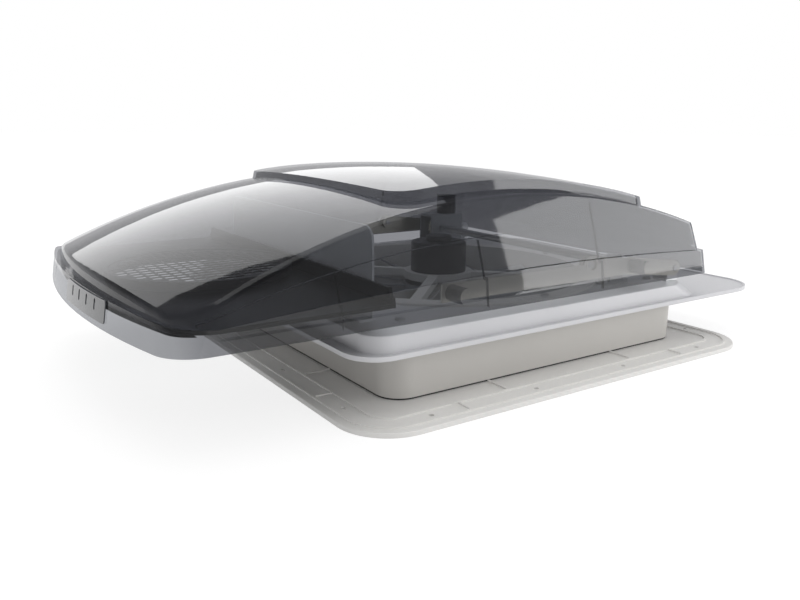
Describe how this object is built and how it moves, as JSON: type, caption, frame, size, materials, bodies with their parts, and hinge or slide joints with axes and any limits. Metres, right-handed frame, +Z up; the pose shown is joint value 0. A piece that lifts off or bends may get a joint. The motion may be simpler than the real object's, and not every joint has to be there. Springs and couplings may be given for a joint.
{
  "type": "caravan roof vent",
  "caption": "Roof vent with a long smoked domed lid, hinged at one end and lifted by a worm drive, over a ducted fan in a square neck on a screw-down flange.",
  "frame": {"origin": "centre of the mounting flange on its underside, which is the plane of the caravan's roof", "axes": "+Z up out of the roof; +X towards the hinged end of the lid, -X towards its long overhanging front; +Y completes a right-handed frame, towards the side with the worm drive"},
  "size_m": [0.6723, 0.465, 0.1796],
  "materials": {
    "lid_smoke": "clear smoked acrylic, glossy",
    "plate_clear": "glossy translucent",
    "housing_white": "fine satin",
    "deck_white": "fine satin",
    "wall_grey": "satin",
    "vent_black": "satin",
    "net_black": "matt",
    "fan_grey": "satin",
    "steel": "satin",
    "rail_metal": "anodised",
    "motor_metal": "semi-gloss",
    "gear_nylon": "natural",
    "gasket_rubber": "matt",
    "lens_dark": "glossy",
    "board_green": "lacquered",
    "button_grey": "satin",
    "bezel_grey": "satin"
  },
  "bodies": {
    "base": {"mounting_flange": "housing_white", "neck_gasket": "gasket_rubber", "neck": "housing_white", "neck_screws": "steel", "rain_tray": "deck_white", "fan_deck": "deck_white", "deck_screws": "steel", "fan_shroud": "housing_white", "shroud_screws": "steel", "fan_motor": "motor_metal", "motor_screws": "steel", "ceiling_frame": "housing_white", "frame_screws": "steel", "screen_rim_ring": "housing_white", "insect_net": "net_black", "control_bezel": "bezel_grey", "receiver_lens": "lens_dark", "circuit_board": "board_green", "rain_wall": "wall_grey", "rain_wall_screws": "steel", "hinge_bracket_left": "steel", "hinge_bracket_right": "steel", "bracket_screws": "steel", "hinge_pins": "steel", "gearbox": "button_grey", "gearbox_screws": "steel", "lid_motor": "motor_metal", "shaft_bearing": "button_grey", "bearing_screws": "steel"},
    "fan": {"fan_rotor": "fan_grey", "rotor_shaft": "steel", "hub_nut": "steel"},
    "lid": {"lid_shell": "lid_smoke", "front_plate": "plate_clear", "vent_frame": "vent_black", "vent_mesh": "net_black", "side_rail_left": "rail_metal", "side_rail_right": "rail_metal", "rail_screws": "steel"},
    "lift": {"lift_shaft": "steel", "worm_wheel": "gear_nylon", "lift_arm_left": "rail_metal", "lift_arm_right": "rail_metal", "arm_rollers": "gear_nylon", "roller_pins": "steel"},
    "worm": {"worm_rod": "steel", "hand_knob": "housing_white"},
    "screen_knob_1": {"screen_knob_1": "housing_white"},
    "screen_knob_2": {"screen_knob_2": "housing_white"},
    "screen_knob_3": {"screen_knob_3": "housing_white"},
    "screen_knob_4": {"screen_knob_4": "housing_white"},
    "power_button": {"power_button": "button_grey"},
    "lid_button": {"lid_button": "button_grey"},
    "air_flow_button": {"air_flow_button": "button_grey"},
    "slower_button": {"slower_button": "button_grey"},
    "faster_button": {"faster_button": "button_grey"}
  },
  "joints": [
    {"name": "lid_hinge", "type": "hinge", "parent": "base", "child": "lid", "pos_m": [0.172, 0, 0.078], "axis": [0, 1, 0], "range_deg": [0, 16]},
    {"name": "lift_shaft_turn", "type": "hinge", "parent": "base", "child": "lift", "pos_m": [0.108, 0, 0.086], "axis": [0, 1, 0], "range_deg": [0, 32]},
    {"name": "worm_turn", "type": "hinge", "parent": "base", "child": "worm", "pos_m": [0.12425, 0.15, 0.086], "axis": [0, 0, 1], "range_deg": [0, 576]},
    {"name": "fan_spin", "type": "hinge", "parent": "base", "child": "fan", "pos_m": [0, 0, 0.0385], "axis": [0, 0, 1], "continuous": true},
    {"name": "screen_knob_1_turn", "type": "hinge", "parent": "base", "child": "screen_knob_1", "pos_m": [0.11667, 0.11667, 0.006], "axis": [0, 0, 1], "range_deg": [0, 90]},
    {"name": "screen_knob_2_turn", "type": "hinge", "parent": "base", "child": "screen_knob_2", "pos_m": [-0.11667, 0.11667, 0.006], "axis": [0, 0, 1], "range_deg": [0, 90]},
    {"name": "screen_knob_3_turn", "type": "hinge", "parent": "base", "child": "screen_knob_3", "pos_m": [-0.11667, -0.11667, 0.006], "axis": [0, 0, 1], "range_deg": [0, 90]},
    {"name": "screen_knob_4_turn", "type": "hinge", "parent": "base", "child": "screen_knob_4", "pos_m": [0.11667, -0.11667, 0.006], "axis": [0, 0, 1], "range_deg": [0, 90]},
    {"name": "power_button_press", "type": "slide", "parent": "base", "child": "power_button", "axis": [0, 0, 1], "range_m": [0, 0.001], "stiffness_N_per_m": 300},
    {"name": "lid_button_press", "type": "slide", "parent": "base", "child": "lid_button", "axis": [0, 0, 1], "range_m": [0, 0.001], "stiffness_N_per_m": 300},
    {"name": "air_flow_button_press", "type": "slide", "parent": "base", "child": "air_flow_button", "axis": [0, 0, 1], "range_m": [0, 0.001], "stiffness_N_per_m": 300},
    {"name": "slower_button_press", "type": "slide", "parent": "base", "child": "slower_button", "axis": [0, 0, 1], "range_m": [0, 0.001], "stiffness_N_per_m": 300},
    {"name": "faster_button_press", "type": "slide", "parent": "base", "child": "faster_button", "axis": [0, 0, 1], "range_m": [0, 0.001], "stiffness_N_per_m": 300}
  ],
  "couplings": [
    {"joint": "lift_shaft_turn", "follows": "lid_hinge", "ratio": 2},
    {"joint": "worm_turn", "follows": "lid_hinge", "ratio": 36}
  ]
}
